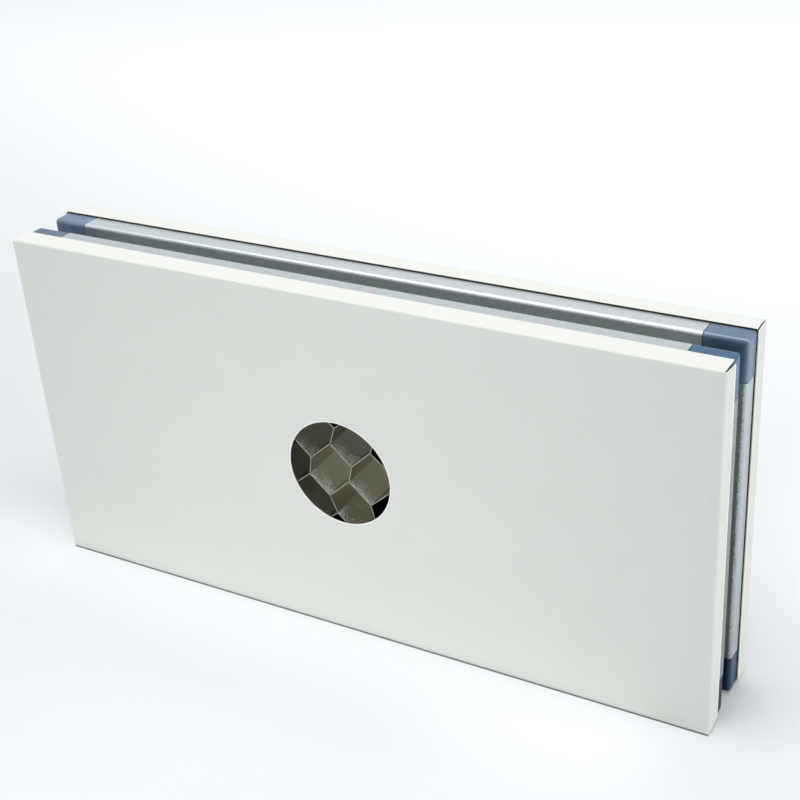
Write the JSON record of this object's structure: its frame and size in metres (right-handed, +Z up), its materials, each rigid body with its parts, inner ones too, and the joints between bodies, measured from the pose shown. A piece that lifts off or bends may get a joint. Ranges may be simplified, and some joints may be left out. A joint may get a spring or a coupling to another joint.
{
  "type": "aluminium honeycomb sandwich wall panel sample",
  "caption": "Flat sandwich panel: two flanged steel skins over a grooved steel frame and an aluminium honeycomb core that a round hole in the front skin shows.",
  "frame": {"origin": "middle of the base, at the centre of the panel's length and thickness", "axes": "+X along the panel's length, to the right seen from the front; +Y through the thickness, towards the rear skin; +Z up the panel's height. The front skin, with the hole, faces -Y."},
  "size_m": [0.36, 0.05, 0.18],
  "materials": {
    "front_paint": "satin off-white coil-coated paint",
    "rear_paint": "satin off-white coil-coated paint",
    "galvanised_steel": "hot-dip galvanised sheet, dull silver",
    "blue_plastic": "satin moulded plastic, slate blue",
    "aluminium_foil": "bright rolled foil with streaks"
  },
  "bodies": {
    "root": {"front_skin": "front_paint", "rear_skin": "rear_paint", "keel_top": "galvanised_steel", "keel_bottom": "galvanised_steel", "keel_left": "galvanised_steel", "keel_right": "galvanised_steel", "corner_top_left": "blue_plastic", "corner_top_right": "blue_plastic", "corner_bottom_left": "blue_plastic", "corner_bottom_right": "blue_plastic", "honeycomb_core": "aluminium_foil"}
  },
  "joints": []
}
